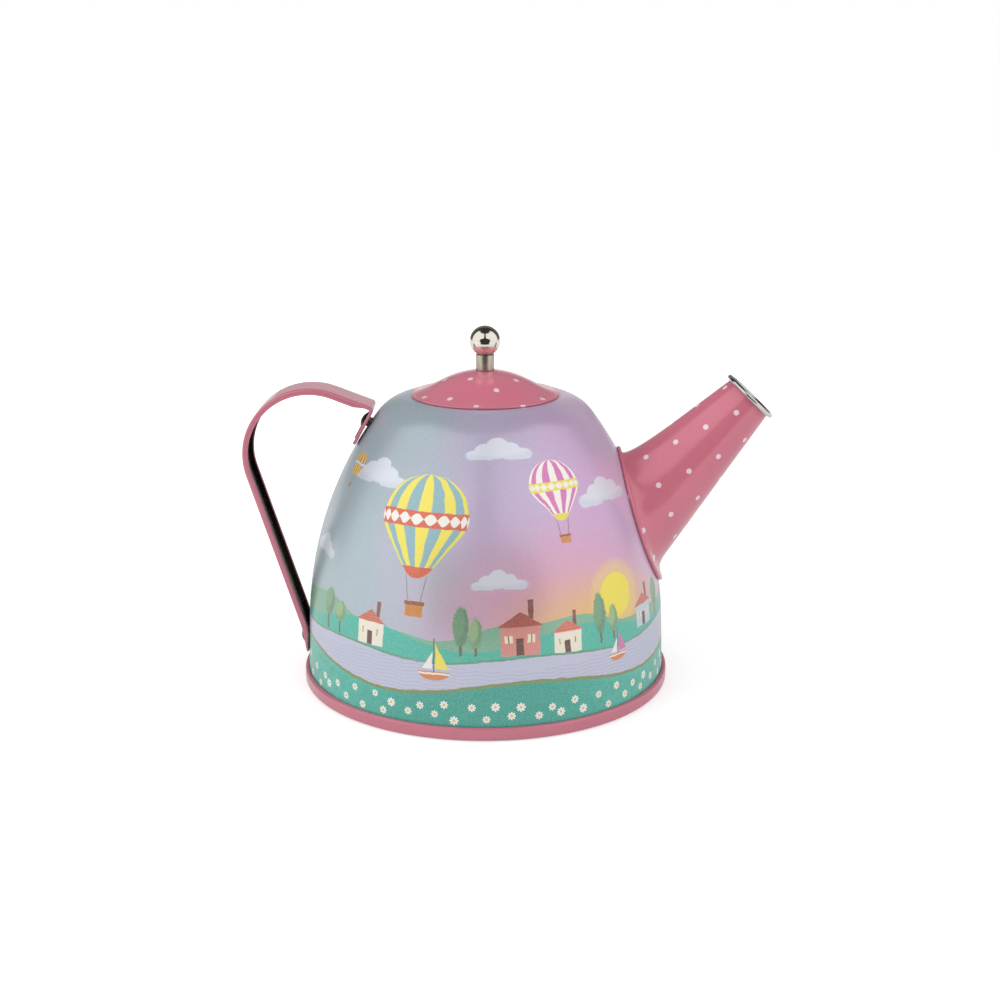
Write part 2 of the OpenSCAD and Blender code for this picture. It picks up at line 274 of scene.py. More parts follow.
def placed(points, origin, out):
    """Points of a piece made about Z, moved to origin with Z along out in the XZ plane."""
    out = unit(out)
    x, y, z = np.array([out[1], 0, -out[0]]), np.array([0.0, 1, 0]), np.array([out[0], 0, out[1]])
    base = np.array([origin[0], 0, origin[1]])
    return [base + p[0] * x + p[1] * y + p[2] * z for p in points]


def linear(hex_colour):
    """A colour written as on the web, as the linear values that the shaders take."""
    values = [int(hex_colour[i:i + 2], 16) / 255 for i in (1, 3, 5)]
    return tuple(v / 12.92 if v <= 0.04045 else ((v + 0.055) / 1.055) ** 2.4 for v in values)


# Materials: plain values stay on the shader's own sockets, and nodes give what varies over a surface
class Value:
    """A number or vector that the nodes of a material work out."""

    def __init__(self, paint, socket):
        self.paint, self.socket = paint, socket

    def __add__(self, other):
        return self.paint.math("ADD", self, other)

    def __sub__(self, other):
        return self.paint.math("SUBTRACT", self, other)

    def __rsub__(self, other):
        return self.paint.math("SUBTRACT", other, self)

    def __mul__(self, other):
        return self.paint.math("MULTIPLY", self, other)

    def __truediv__(self, other):
        return self.paint.math("DIVIDE", self, other)

    __radd__ = __add__
    __rmul__ = __mul__


class Nodes:
    """Sums and mixes in a tree of nodes."""

    def __init__(self, tree):
        self.tree = tree

    def node(self, kind, **settings):
        node = self.tree.nodes.new(kind)
        for key, value in settings.items():
            setattr(node, key, value)
        return node

    def put(self, socket, value):
        """Gives a socket a worked-out value, another node's output, a web colour or a plain value."""
        if isinstance(value, Value):
            value = value.socket
        if isinstance(value, bpy.types.NodeSocket):
            self.tree.links.new(value, socket)
        elif isinstance(value, str):
            socket.default_value = (*linear(value), 1)
        else:
            socket.default_value = value

    def math(self, operation, *values):
        node = self.node("ShaderNodeMath", operation=operation)
        for socket, value in zip(node.inputs, values):
            self.put(socket, value)
        return Value(self, node.outputs[0])

    def vector(self, operation, *values, scale=None, output="Vector"):
        node = self.node("ShaderNodeVectorMath", operation=operation)
        for socket, value in zip(node.inputs, values):
            self.put(socket, value)
        if scale is not None:
            self.put(node.inputs["Scale"], scale)
        return Value(self, node.outputs[output])

    def parts(self, vector):
        node = self.node("ShaderNodeSeparateXYZ")
        self.put(node.inputs[0], vector)
        return [Value(self, socket) for socket in node.outputs]

    def joined(self, x, y, z=0.0):
        node = self.node("ShaderNodeCombineXYZ")
        for socket, value in zip(node.inputs, (x, y, z)):
            self.put(socket, value)
        return Value(self, node.outputs[0])

    def length(self, vector):
        return self.vector("LENGTH", vector, output="Value")

    def ramp(self, value, low, high, start=0.0, end=1.0):
        """start where value is at low, end where it is at high, and smooth between."""
        node = self.node("ShaderNodeMapRange", interpolation_type="SMOOTHSTEP")
        for socket, number in zip(node.inputs, (value, low, high, start, end)):
            self.put(socket, number)
        return Value(self, node.outputs[0])

    def mix(self, share, first, second):
        node = self.node("ShaderNodeMix", data_type="RGBA")
        for socket, value in zip([node.inputs[0]] + list(node.inputs)[6:8], (share, first, second)):
            self.put(socket, value)
        return node.outputs[2]

    def rays(self):
        """Whether a surface is seen by the camera itself, and whether it is seen in a reflection."""
        path = self.node("ShaderNodeLightPath").outputs
        mirrored = self.math("MAXIMUM", path["Is Glossy Ray"], path["Is Transmission Ray"])
        return Value(self, path["Is Camera Ray"]), mirrored


class Paint(Nodes):
    """A material and its nodes. Lengths on it are in millimetres."""

    def __init__(self, name, colour, roughness, metallic=0.0, coat=0.0, coat_roughness=0.03):
        self.material = bpy.data.materials.new(name)
        self.material.use_nodes = True
        super().__init__(self.material.node_tree)
        self.shader = self.tree.nodes["Principled BSDF"]
        self.shader.inputs["Base Color"].default_value = (*linear(colour), 1)
        for socket, value in (("Roughness", roughness), ("Metallic", metallic), ("Coat Weight", coat),
                              ("Coat Roughness", coat_roughness)):
            self.shader.inputs[socket].default_value = value
        self.place = self.vector("SCALE", self.node("ShaderNodeTexCoord").outputs["Object"], scale=1 / MM)
        self.colour = colour

    def noise(self, scale, detail=2.0, place=None):
        """Noise between 0 and 1 with scale features a millimetre."""
        node = self.node("ShaderNodeTexNoise")
        for name, value in (("Vector", place or self.place), ("Scale", scale), ("Detail", detail)):
            self.put(node.inputs[name], value)
        return Value(self, node.outputs[0])

    def lay(self, inside, colour, soft=0.1, strength=1.0):
        """Lays a colour where inside, a distance in millimetres from an edge, is below zero."""
        self.colour = self.mix(self.ramp(inside, -soft, soft, strength, 0.0), self.colour, colour)

    def bump(self, height, depth):
        """Relief with height from 0 to 1 and depth in millimetres."""
        node = self.node("ShaderNodeBump")
        self.put(node.inputs["Height"], height)
        node.inputs["Distance"].default_value = depth * MM
        self.put(self.shader.inputs["Normal"], node.outputs[0])

    def done(self):
        """The finished material, with its colour in place."""
        self.put(self.shader.inputs["Base Color"], self.colour)
        return self.material


def least(whole, *others):
    """The union of shapes."""
    for other in others:
        whole = whole.paint.math("MINIMUM", whole, other)
    return whole


def most(whole, *others):
    """What shapes have in common."""
    for other in others:
        whole = whole.paint.math("MAXIMUM", whole, other)
    return whole


class Spot:
    """A motif's own place on the print: x runs round the body and y up its wall, in millimetres."""

    def __init__(self, paint, turn, height):
        self.paint = paint
        self.x = (paint.turn - math.radians(turn)) * paint.radius + paint.wobble
        self.y = paint.height - height + paint.wobble
        self.at = paint.joined(self.x, self.y)

    def oval(self, x, y, a, b):
        """An oval about (x, y) with the half widths a and b."""
        moved = self.paint.vector("MULTIPLY_ADD", self.at, (1 / a, 1 / b, 0), (-x / a, -y / b, 0))
        return (self.paint.length(moved) - 1) * min(a, b)

    def side(self, angle, reach):
        """All that lies less than reach from the middle in the direction of angle."""
        angle = math.radians(angle)
        along = self.paint.vector("DOT_PRODUCT", self.at, (math.cos(angle), math.sin(angle), 0), output="Value")
        return along - reach

    def box(self, x, y, a, b):
        """A box about (x, y) with the half widths a and b."""
        moved = self.paint.vector("ABSOLUTE", self.paint.vector("SUBTRACT", self.at, (x, y, 0)))
        right, top, _ = self.paint.parts(self.paint.vector("SUBTRACT", moved, (a, b, 0)))
        return most(right, top)


def cloud(paint, turn, height, w, lean=1):
    """A cloud about 2w wide with a flat foot. lean is -1 for the mirror image."""
    spot = Spot(paint, turn, height)
    puffs = ((-0.62, 0.02, 0.34, 0.2), (-0.3, 0.14, 0.32, 0.27), (0.05, 0.24, 0.34, 0.32), (0.4, 0.12, 0.33, 0.26),
             (0.72, 0.0, 0.26, 0.16))
    shape = least(*(spot.oval(x * w * lean, y * w, a * w, b * w) for x, y, a, b in puffs))
    shape = most(shape, spot.side(-90, 0.12 * w))
    paint.lay(shape, "#dfe3ec", 0.2, 0.92)
    shade = most(shape, spot.oval(0.1 * w * lean, 0.35 * w, 1.2 * w, 0.38 * w) * -1)
    paint.lay(shade, "#c9cfe0", 0.8, 0.6)


def balloon(paint, turn, height, r, colours):
    """A hot-air balloon with an envelope of radius r."""
    spot = Spot(paint, turn, height)
    pinch = spot.x * (paint.ramp(spot.y, -1.25 * r, 0, 0.75, 0.0) + 1)
    low = spot.y * paint.ramp(spot.y, -0.1 * r, 0, 0.82, 1.0)
    shape = paint.length(paint.joined(pinch, low)) - r
    across = paint.math("SQRT", most(paint.math("MULTIPLY_ADD", low, low * -1, r * r), r * r / 99))
    gore = paint.math("ARCSINE", least(most(pinch / across, -1), 1))
    first, second, third = colours
    # Ropes and basket
    for angle in (180, 0):
        rope = paint.math("ABSOLUTE", spot.side(angle, 0) + (spot.y * -0.16 - 0.42 * r)) - 0.09
        paint.lay(most(rope, paint.math("ABSOLUTE", spot.y + 1.45 * r) - 0.3 * r), "#7d6a5c", 0.06)
    paint.lay(spot.box(0, -1.88 * r, 0.2 * r, 0.15 * r), "#d08a45")
    paint.lay(spot.box(0, -1.75 * r, 0.23 * r, 0.04 * r), "#9c6134", 0.06)
    paint.lay(shape, first, 0.12)
    paint.lay(most(shape, paint.math("COSINE", gore * 10) * -1), second, 0.12)
    band = paint.math("ABSOLUTE", spot.y - 0.02 * r)
    paint.lay(most(shape, band - 0.17 * r), third, 0.1)
    beads = paint.math("ABSOLUTE", paint.math("SINE", gore * 10)) * 0.12 * r
    paint.lay(most(shape, band - beads), "#f3efe6", 0.1)
    paint.lay(most(shape, spot.side(-90, 0.98 * r) * -1), third, 0.1)


def cottage(paint, turn, height, w, wall, roof):
    """A cottage w wide, with a chimney, a tiled roof, a door and two windows."""
    spot = Spot(paint, turn, height)
    paint.lay(spot.box(0.27 * w, 1.05 * w, 0.07 * w, 0.24 * w), "#8e5a50", 0.06)
    paint.lay(spot.box(0, 0.3 * w, 0.5 * w, 0.4 * w), wall)
    tiles = most(spot.side(57, 0.84 * w), spot.side(123, 0.84 * w), spot.side(-90, -0.62 * w))
    paint.lay(tiles, roof)
    rows = paint.math("SINE", spot.y * (2 * math.pi / 0.8)) * 0.5 - 0.3
    paint.lay(most(tiles, rows * -1), "#a8584a", 0.3, 0.5)
    paint.lay(spot.box(-0.02 * w, 0.12 * w, 0.1 * w, 0.22 * w), "#6f4a3f", 0.06)
    for x in (-0.3, 0.27):
        paint.lay(spot.box(x * w, 0.32 * w, 0.1 * w, 0.1 * w), "#f2e9c9", 0.06)
        paint.lay(spot.box(x * w, 0.32 * w, 0.015 * w, 0.1 * w), "#8e5a50", 0.04)


def tree(paint, turn, height, w, colour, tall):
    """A tree with a crown 0.84w wide, shaded below on the right."""
    spot = Spot(paint, turn, height)
    paint.lay(spot.box(0, 0.3 * w, 0.07 * w, 0.5 * w), "#7b6652", 0.06)
    crown = spot.oval(0, (0.55 + 0.5 * tall) * w, 0.42 * w, 0.6 * tall * w) + paint.grain * 0.9
    paint.lay(crown, colour, 0.12)
    lit = spot.oval(-0.2 * w, (0.6 + 0.6 * tall) * w, 0.4 * w, 0.5 * tall * w)
    paint.lay(most(crown, lit * -1), "#5f8a72", 0.5, 0.6)


def sailboat(paint, turn, height, w, sail):
    """A boat about 1.1w long, with a coloured sail and a pale one."""
    spot = Spot(paint, turn, height)
    hull = spot.oval(0, 0.05 * w, 0.55 * w, 0.3 * w)
    paint.lay(most(hull, spot.side(90, 0.05 * w)), "#d88a52")
    paint.lay(most(hull, paint.math("ABSOLUTE", spot.y + 0.02 * w) - 0.03 * w), "#f3efe6", 0.06)
    paint.lay(spot.box(0, 0.6 * w, 0.02 * w, 0.58 * w), "#7d6a5c", 0.05)
    paint.lay(most(spot.side(180, -0.05 * w), spot.side(-90, -0.14 * w), spot.side(28, 0.52 * w)), sail)
    paint.lay(most(spot.side(0, -0.05 * w), spot.side(-90, -0.14 * w), spot.side(148, 0.42 * w)), "#f3efe6")


# The print's two sides meet at this turn, in degrees, and daisies whose middle lies beyond it are left out
SIDES_MEET = 89
# How far a daisy may lie off its place, round and up the body
ASTRAY, ASTRAY_UP = 2.4, 2


def daisies(paint, turn, row, step, shift):
    """A row of daisies, step degrees apart, each a little off its place, and none where the two sides meet."""
    share = turn / step + shift
    middle = (paint.math("FLOOR", share) + 0.5 - shift) * step
    left_out = paint.math("GREATER_THAN", paint.math("ABSOLUTE", middle), SIDES_MEET) * BODY_R
    chance = paint.node("ShaderNodeTexWhiteNoise", noise_dimensions="1D")
    paint.put(chance.inputs["W"], paint.math("FLOOR", share) + row)
    chance = Value(paint, chance.outputs["Value"])
    across = (paint.math("FRACT", share) - 0.5) * (step * math.pi / 180 * BODY_R) + (chance - 0.5) * ASTRAY
    up = paint.height - row + (paint.math("FRACT", chance * 7) - 0.5) * ASTRAY_UP
    at = paint.joined(across, up)
    petals = paint.math("ABSOLUTE", paint.math("COSINE", paint.math("ARCTAN2", up, across) * 4))
    reach = paint.length(at) + left_out
    paint.lay(reach - petals * 0.55 - chance * 0.3 - 0.55, "#f4f3f0", 0.06)
    paint.lay(reach - 0.4, "#e9c23c", 0.06)


def printed_tin():
    """A made-up picture: hot-air balloons over a river valley at dusk. The body's two sides carry it, mirrored. Its
    paler right edge and its meadow, paler towards both sides, are painted sheen.
    """
    paint = Paint("printed_tin", "#b1a1bc", roughness=0.3, metallic=0.25, coat=0.15, coat_roughness=0.12)
    x, y, z = paint.parts(paint.place)
    paint.turn = paint.math("ARCTAN2", x, paint.math("ABSOLUTE", y))
    paint.radius = paint.length(paint.joined(x, y))
    lift = paint.math("ARCSINE", (z - SIDE_C[1]) / SIDE_R)
    paint.height = lift * SIDE_R - SIDE_R * WALL_LEAN
    paint.wobble = (paint.noise(0.35) - 0.5) * 0.7
    paint.grain = paint.noise(1.3, 3.0) - 0.5
    turn, height = paint.turn * (180 / math.pi), paint.height
    soft_turn = turn + (paint.noise(0.05, 1.0) - 0.5) * 60

    # Sky, from grey-green on the left through lilac to a warm glow low on the right
    paint.colour = paint.mix(paint.ramp(soft_turn, -50, 0), "#a4bcbe", "#c4b1d1")
    paint.colour = paint.mix(paint.ramp(soft_turn, 0, 50), paint.colour, "#cfa6d0")
    paint.lay(height * -1 + 54 + turn * 0.25, "#a2a8b8", 20, 0.45)
    paint.lay(height - 26 + turn * 0.3, "#bac4ce", 18, 0.4)
    # Painted sheen: a paler lilac over the right edge, from about 58 degrees round
    paint.lay(58 - turn, "#dcc6dc", 16, 0.6)
    low = paint.joined((turn - 24) / 46, (height - 16) / 24)
    paint.lay((paint.length(low) - 0.72) * 10, "#e0a4b8", 5.5, 0.9)
    low = paint.joined((turn - 38) / 40, (height - 9) / 19)
    paint.lay((paint.length(low) - 0.62) * 10, "#e8bd6c", 5, 0.95)
    sun = Spot(paint, 46, 17)
    paint.lay(sun.oval(0, 0, 9.5, 9.5), "#efd27c", 1.5, 0.5)
    paint.lay(sun.oval(0, 0, 6.2, 6.2), "#f2e04e", 0.15)

    for place in ((-49, 50, 11.5), (7, 60, 9.5, -1), (52, 44, 11), (5, 24, 8, -1), (-70, 25, 8.5)):
        cloud(paint, *place)
    balloon(paint, -22, 41, 13, ("#8fb6bf", "#f3e35a", "#d9694a"))
    balloon(paint, 29, 50, 7.8, ("#d879b6", "#f5f1e8", "#eadb4e"))
    balloon(paint, -66, 52, 3.6, ("#f3e35a", "#d9694a", "#8fb6bf"))

    # Far hills, cottages and trees
    waves = paint.math("SINE", turn * 0.075) * 2.6 + paint.math("SINE", turn * 0.21 + 1) * 0.8
    paint.lay(height - 11.5 - waves + paint.wobble, "#86b79b", 0.12)
    slope = height - 8.6 + paint.math("SINE", turn * 0.09 + 2) * 2.8 + paint.wobble
    paint.lay(slope, "#54bca8", 0.12)
    mown = paint.math("SINE", slope * 5 + paint.math("SINE", turn * 0.3) * 1.5)
    paint.lay(most(slope, mown * -0.2 + 0.13), "#50b8a1", 0.12, 0.5)
    for at, w, colour, tall in ((-58, 6.4, "#86ab88", 1.0), (-51, 5.2, "#9dbb88", 0.9), (-7, 5.2, "#7ba580", 1.7),
                                (-2.5, 4.2, "#9dbb88", 1.6), (38, 5.0, "#7ba580", 1.9), (43.5, 4.0, "#9dbb88", 1.5),
                                (70, 6.0, "#86ab88", 1.1)):
        tree(paint, at, 5.6, w, colour, tall)
    cottage(paint, -37, 5.4, 9.0, "#f1e9da", "#d27a63")
    cottage(paint, 11, 5.8, 11.0, "#dd928a", "#b35d52")
    cottage(paint, 26, 4.8, 8.4, "#f1e9da", "#dd7f66")
    cottage(paint, 60, 5.6, 8.6, "#c3d2dc", "#d27a63")

    # River with boats, its bank, and the meadow in front
    bank = paint.math("SINE", turn * 0.07 + 0.6) * 1.5 + paint.wobble
    shore = height - paint.math("SINE", turn * 0.1) * 0.9 + paint.wobble
    paint.lay(shore - 3.6, "#6b9f7f", 0.12)
    paint.lay(shore - 3.0, "#c6c8dc", 0.12)
    ripple = paint.math("SINE", height * 6 + paint.math("SINE", turn * 0.7) * 1.2)
    paint.lay(most(height - 1.6 + bank, ripple * -0.2 + 0.16), "#a9acc8", 0.1, 0.7)
    sailboat(paint, -15, -0.6, 8.4, "#f3e35a")
    sailboat(paint, 45, -0.2, 6.8, "#d879b6")
    meadow = height - bank * 1.4
    paint.lay(meadow + 4.6, "#87935a", 0.12)
    # Painted sheen: the meadow's mint is paler round towards both sides than at the front and back
    side_sheen = paint.ramp(paint.math("ABSOLUTE", turn), 15, 55)
    paint.lay(meadow + 5.5, paint.mix(side_sheen, "#42a696", "#54bfab"), 0.14)
    paint.lay(most(meadow + 6.6, (paint.noise(0.5) - 0.52) * 3), "#3f9f8e", 0.4, 0.35)
    for row, shift in ((-10.2, 0.0), (-13.2, 0.5)):
        daisies(paint, turn, row, 8.0, shift)

    # Printing grain over the whole picture
    paint.colour = paint.mix(paint.ramp(paint.noise(2.2, 4.0), 0.3, 0.7, 0.0, 0.1), paint.colour, "#f5f3f7")
    paint.put(paint.shader.inputs["Roughness"], paint.noise(0.25) * 0.08 + 0.26)
    return paint.done()


def lacquer(name, light, dark, spots=None):
    """Pink lacquer, with a pattern of pale spots where spots gives the place of each point in the pattern."""
    paint = Paint(name, light, roughness=0.26, metallic=0.06, coat=0.55, coat_roughness=0.04)
    paint.colour = paint.mix(paint.noise(0.08), light, dark)
    if spots:
        paint.lay(spots(paint), "#efd9e6", 0.09, 0.95)
    paint.put(paint.shader.inputs["Roughness"], paint.noise(0.3) * 0.1 + 0.2)
    paint.bump(paint.noise(0.6, 1.0), 0.006)
    return paint.done()


# Radius of the pale spots
SPOT_R = 0.8


def dotted(paint, x, y, pitch, angle, phase):
    """Distance from the nearest spot's edge, in a square pattern turned by angle."""
    c, s = math.cos(math.radians(angle)) / pitch, math.sin(math.radians(angle)) / pitch
    cell = paint.joined(x * c + y * s - phase[0] + 0.5, y * c - x * s - phase[1] + 0.5)
    near = paint.vector("SUBTRACT", paint.vector("FRACTION", cell), (0.5, 0.5, 0))
    return paint.length(near) * pitch - SPOT_R


def lid_spots(paint):
    """The spots on the lid, as seen from above."""
    x, y, _ = paint.parts(paint.place)
    return dotted(paint, x, y, 9.45, 53, (0.104, -0.119))


def spout_spots(paint):
    """The spots on the spout's cone, laid out flat round its tip."""
    from_tip = paint.vector("SUBTRACT", paint.place, tuple(SPOUT_TIP))
    above = paint.vector("DOT_PRODUCT", from_tip, tuple(-SPOUT_LOW), output="Value")
    beside_axis = paint.vector("DOT_PRODUCT", from_tip, tuple(SPOUT_SIDE), output="Value")
    turn = paint.math("ARCTAN2", beside_axis, above) * math.sin(math.atan(SPOUT_TAPER))
    reach = paint.length(from_tip)
    x, y = reach * paint.math("COSINE", turn), reach * paint.math("SINE", turn)
    return dotted(paint, x, y, 9.7, 9, (0.247, -0.034))


def metal(name, colour, tint, roughness, spread, scale, stretch=(1, 1, 1), relief=0.0):
    """Metal whose colour and gloss vary a little, drawn out along an axis where stretch says so."""
    paint = Paint(name, colour, roughness, metallic=1.0)
    grain = paint.noise(scale, 3.0, paint.vector("MULTIPLY", paint.place, stretch))
    paint.colour = paint.mix(grain, colour, tint)
    paint.put(paint.shader.inputs["Roughness"], grain * spread + (roughness - spread / 2))
    if relief:
        paint.bump(grain, relief)
    return paint.done()


# Axis of the spout, pointing back from its mouth, and two directions square to it
SPOUT_BACK = np.array([-math.cos(SPOUT_TILT), 0, -math.sin(SPOUT_TILT)])
SPOUT_LOW = np.array([math.sin(SPOUT_TILT), 0, -math.cos(SPOUT_TILT)])
SPOUT_SIDE = np.array([0.0, 1, 0])
SPOUT_TIP = SPOUT_MOUTH - SPOUT_BACK * SPOUT_R / SPOUT_TAPER

sky_print = printed_tin()
pink = lacquer("pink_lacquer", "#d07b8c", "#c77283")
spotted_spout = lacquer("spotted_spout", "#d5788b", "#cd6f82", spout_spots)
spotted_lid = lacquer("spotted_lid", "#dc7d90", "#d47488", lid_spots)
# Metals: two colours that mix, roughness and its spread, and the scale of the grain
bare_tin = metal("bare_tin", "#9a9791", "#85827c", 0.32, 0.16, 0.2)
# Bare tin inside the handle's channel, coloured dark: painted shade for the hollow
shaded_tin = metal("shaded_tin", "#3a332f", "#48403a", 0.25, 0.14, 0.25)
dark_steel = metal("dark_steel", "#6f6c66", "#55524d", 0.36, 0.16, 0.5, relief=0.01)
satin = metal("satin_nickel", "#cec8b8", "#bdb7a8", 0.33, 0.1, 0.7, stretch=(1, 1, 6))
wire = metal("polished_wire", "#e2e1db", "#d2d1cb", 0.1, 0.06, 0.3)
chrome = metal("chrome", "#f2eddf", "#e6e1d3", 0.05, 0.04, 0.15)


def build_body():
    """The body's sheet, turned. The spout's hole is cut in it later."""
    outer = list(np.linspace([BODY_R, FOOT_Z], WALL_TOP, 12)[:-1])
    outer += arc(SIDE_C, SIDE_R, WALL_LEAN, SIDE_TURN, 60)
    outer += arc(CROWN_C, CROWN_R, SIDE_TURN, math.pi / 2, 24)[1:]
    outer += arc([CROWN_C[0], BODY_H - LIP_R], LIP_R, math.pi / 2, math.pi, 10)[1:]
    outer += [np.array([MOUTH_R, BODY_H - NECK_H])]
    inner = beside(outer, SHEET)
    return turned_shape(outer + inner[::-1], ROUND)


body = mesh_piece("body", build_body(), "teapot", [sky_print, bare_tin], ["body_shell"])


def spout_point(turn, back, grow):
    """A point on the spout's cone, grown by grow, at angle turn and distance back behind the mouth."""
    radius = SPOUT_R + grow + back * SPOUT_TAPER
    return SPOUT_MOUTH + SPOUT_BACK * back + radius * (math.cos(turn) * SPOUT_LOW + math.sin(turn) * SPOUT_SIDE)


def body_height(p):
    """Height of a point over the body's outer face, and that face's outward normal."""
    r = math.hypot(p[0], p[1])
    to = np.array([r, p[2]]) - SIDE_C
    if math.atan2(to[1], to[0]) > WALL_LEAN:
        height, normal = np.linalg.norm(to) - SIDE_R, unit(to)
    else:
        normal = np.array([math.cos(WALL_LEAN), math.sin(WALL_LEAN)])
        height = float(to @ normal) - SIDE_R
    return height, np.array([normal[0] * p[0] / r, normal[0] * p[1] / r, normal[1]])


# The range, behind the mouth, in which the spout meets the body
SPOUT_RANGE = (20.0, 66.0)
HALVINGS = 40


def spout_hit(turn, grow, height):
    """How far behind the mouth the grown cone comes to a height over the body, by halving a range."""
    near, far = SPOUT_RANGE
    for _ in range(HALVINGS):
        middle = (near + far) / 2
        if body_height(spout_point(turn, middle, grow))[0] > height:
            near = middle
        else:
            far = middle
    return near


def on_body(turn, grow, height):
    """The point over the body where the grown cone meets it, at a height along the normal."""
    grow -= FLANGE_RISE * math.cos(turn) * max(grow, 0) / FLANGE_W
    p = spout_point(turn, spout_hit(turn, grow, 0.0), grow)
    return p + body_height(p)[1] * height


# The flare from the cone to the flange: its length up the cone and its width on the flange, and how much more than
# that each is at the top and less at the bottom
FLARE, FLARE_MORE = 11.0, 8.0
FOOT, FOOT_MORE = 1.5, 0.7
FLANGE_TOP = FLANGE_LIFT + SHEET
# Section of the flange beyond the flare, as (distance beyond the cone, height over the body)
FLANGE_SECTION = [(2.35, 0.75), (2.5, 0.78), (2.7, 0.9), (2.95, 1.05), (3.2, 1.1), (3.45, 1.04), (3.65, 0.86),
                  (3.75, 0.6), (3.73, 0.34), (3.6, 0.14), (3.4, 0.05), (3.1, 0.05), (2.85, 0.13), (2.65, 0.3),
                  (2.35, 0.35), (1.2, 0.35), (0.15, 0.35), (0.0, 0.2)]
# The tabs that hold the spout inside the body, in the same terms
TAB_SECTION = [(0.0, -SHEET - SEAM), (TAB_W, -SHEET - SEAM), (TAB_W, -2 * SHEET - SEAM)]


def build_spout():
    """The spout in sections: down the cone, over the flare and flange, round the tabs and back up the inside."""
    rows = []
    for k in range(SPOUT_ROUND):
        turn = 2 * math.pi * k / SPOUT_ROUND
        foot = spout_hit(turn, 0.0, FLANGE_TOP)
        start = foot - FLARE + FLARE_MORE * math.cos(turn)
        row = [spout_point(turn, start * t, 0.0) for t in np.linspace(0, 1, 36)]
        a, b, c = row[-1], spout_point(turn, foot, 0.0), on_body(turn, FOOT - FOOT_MORE * math.cos(turn), FLANGE_TOP)
        row += [a * (1 - t) ** 2 + 2 * b * t * (1 - t) + c * t * t for t in np.linspace(0, 1, 19)[1:]]
        row += [on_body(turn, w, h) for w, h in FLANGE_SECTION + TAB_SECTION]
        deep = spout_hit(turn, -SHEET, -2 * SHEET - SEAM)
        row += [spout_point(turn, deep * (1 - t), -SHEET) for t in np.linspace(0, 1, 40)]
        rows.append(row)
    count = len(rows[0])
    points = [p for row in rows for p in row]
    faces = []
    for k in range(SPOUT_ROUND):
        n = (k + 1) % SPOUT_ROUND
        for i in range(count):
            j = (i + 1) % count
            faces.append([k * count + i, k * count + j, n * count + j, n * count + i])
    return outwards(points, faces)


spout = mesh_piece("spout", build_spout(), "teapot", [spotted_spout, bare_tin], ["spout_shell"])

# The cone that cuts the spout's hole: where it begins and ends behind the mouth, and its facets
CUT_RANGE = (30.0, 62.0)
CUT_ROUND = 96


def cut_spout_hole():
    """Cuts the spout's hole in the body."""
    rim = CUT_ROUND
    points = [spout_point(2 * math.pi * k / rim, s, SEAM) for s in CUT_RANGE for k in range(rim)]
    faces = [[k, (k + 1) % rim, rim + (k + 1) % rim, rim + k] for k in range(rim)]
    faces += [list(range(rim))[::-1], list(range(rim, 2 * rim))]
    points, faces = outwards(points, faces)
    mesh = bpy.data.meshes.new("cutter")
    mesh.from_pydata([tuple(p * MM) for p in points], [], faces)
    cutter = new_object("cutter", mesh)
    cut = body.modifiers.new("spout_hole", "BOOLEAN")
    cut.object, cut.operation, cut.solver = cutter, "DIFFERENCE", "EXACT"
    bpy.context.view_layer.objects.active = body
    bpy.ops.object.modifier_apply(modifier=cut.name)
    bpy.data.objects.remove(cutter)


cut_spout_hole()
# The body is bare where its faces look towards its axis
bare_inside(body, lambda p, normal: normal[0] * p[0] + normal[1] * p[1] < -0.1 * math.hypot(p[0], p[1]))


def inside_spout(p, _):
    """Whether a place on the spout lies on the inner face of its sheet."""
    back = float((p - SPOUT_MOUTH) @ SPOUT_BACK)
    off = float(np.linalg.norm(p - SPOUT_MOUTH - SPOUT_BACK * back))
    return off < SPOUT_R + back * SPOUT_TAPER - SHEET / 2


bare_inside(spout, inside_spout)


def build_ring():
    """The wire ring in the spout's mouth."""
    line = arc([SPOUT_R + RING_WIRE / 2, 0], RING_WIRE / 2, 0, 2 * math.pi, 24)[:-1]
    points, faces = turned_shape(line, MIDDLE_ROUND)
    out = -np.array([SPOUT_BACK[0], SPOUT_BACK[2]])
    return placed(points, SPOUT_MOUTH[[0, 2]], out), faces


mesh_piece("mouth_ring", build_ring(), "teapot", [wire], ["spout_ring"])


def build_base():
    """The foot rim and the floor, pressed from one sheet."""
    line = [np.array([BODY_R + SEAM, RIM_H])]
    line += arc([RIM_R - RIM_HEM_R, RIM_H - RIM_HEM_R], RIM_HEM_R, math.pi / 2, 0, 8)
    line += arc([RIM_R - RIM_EDGE_R, RIM_EDGE_R], RIM_EDGE_R, 0, -math.pi / 2, 10)
    line += arc([FLOOR_R + RIM_EDGE_R, RIM_EDGE_R], RIM_EDGE_R, -math.pi / 2, -math.pi, 10)
    line += rounded([FLOOR_R, RIM_EDGE_R], [FLOOR_R, FLOOR_Z], [0, FLOOR_Z], SHEET)
    line += [np.array([FLOOR_R * s, FLOOR_Z]) for s in (0.9, 0.6, 0.3)] + [np.array([0.0, FLOOR_Z])]
    return turned_shape(line + beside(line, -SHEET)[::-1], ROUND)


mesh_piece("foot", build_base(), "teapot", [pink], ["base_plate"])

